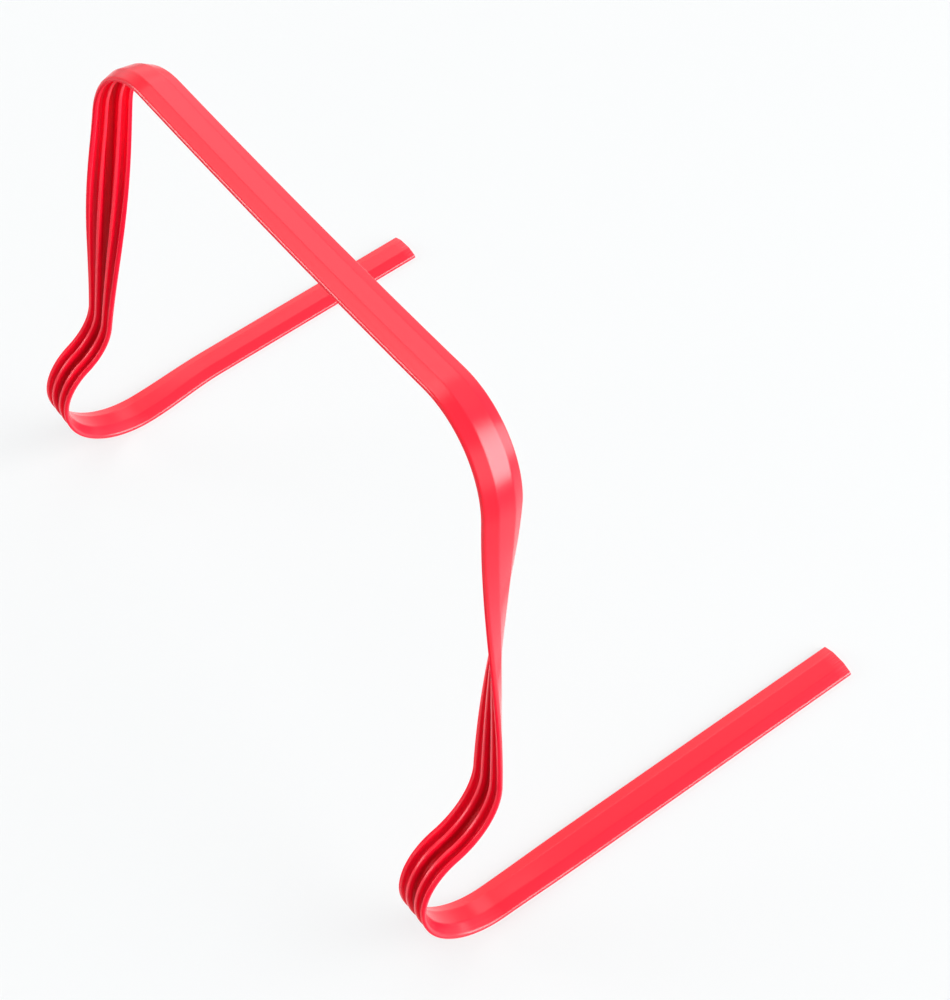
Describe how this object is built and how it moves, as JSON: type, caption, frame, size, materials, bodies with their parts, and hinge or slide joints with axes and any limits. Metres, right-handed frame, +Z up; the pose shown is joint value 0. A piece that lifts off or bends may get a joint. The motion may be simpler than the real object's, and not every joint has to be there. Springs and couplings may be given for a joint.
{
  "type": "speed hurdle",
  "caption": "Free-standing training hurdle bent from a ribbed glossy plastic strip, with a long crossbar, rounded corners, twisted legs and looped, flat feet that flex and spring back.",
  "frame": {"origin": "on the ground, under the middle of the hurdle's box", "axes": "+X along the crossbar from the left leg to the right one, +Y the way the feet point, +Z up"},
  "size_m": [0.549, 0.3614, 0.4],
  "materials": {
    "red_plastic": "gloss"
  },
  "bodies": {
    "bar": {"crossbar": "red_plastic", "left_corner": "red_plastic", "right_corner": "red_plastic"},
    "left_side": {"left_leg": "red_plastic", "left_knee": "red_plastic", "left_toe": "red_plastic"},
    "left_stand": {"left_sole": "red_plastic", "left_instep": "red_plastic", "left_foot": "red_plastic"},
    "right_side": {"right_leg": "red_plastic", "right_knee": "red_plastic", "right_toe": "red_plastic"},
    "right_stand": {"right_sole": "red_plastic", "right_instep": "red_plastic", "right_foot": "red_plastic"}
  },
  "joints": [
    {"name": "left_corner_flex", "type": "hinge", "parent": "bar", "child": "left_side", "pos_m": [-0.17969, -0.06157, 0.37778], "axis": [0, 0.9825, -0.1865], "range_deg": [0, 12], "stiffness_Nm_per_rad": 3, "deforming": ["left_corner"]},
    {"name": "right_corner_flex", "type": "hinge", "parent": "bar", "child": "right_side", "pos_m": [0.1856, -0.06157, 0.37778], "axis": [0, -0.9825, 0.1865], "range_deg": [0, 12], "stiffness_Nm_per_rad": 3, "deforming": ["right_corner"]},
    {"name": "left_loop_flex", "type": "hinge", "parent": "left_side", "child": "left_stand", "pos_m": [-0.24605, -0.13189, 0.02787], "axis": [0.9905, 0.0185, -0.1363], "range_deg": [0, 20], "stiffness_Nm_per_rad": 3, "deforming": ["left_sole"]},
    {"name": "right_loop_flex", "type": "hinge", "parent": "right_side", "child": "right_stand", "pos_m": [0.252, -0.158, 0.02409], "axis": [0.9905, -0.0185, 0.1363], "range_deg": [0, 20], "stiffness_Nm_per_rad": 3, "deforming": ["right_sole"]}
  ]
}
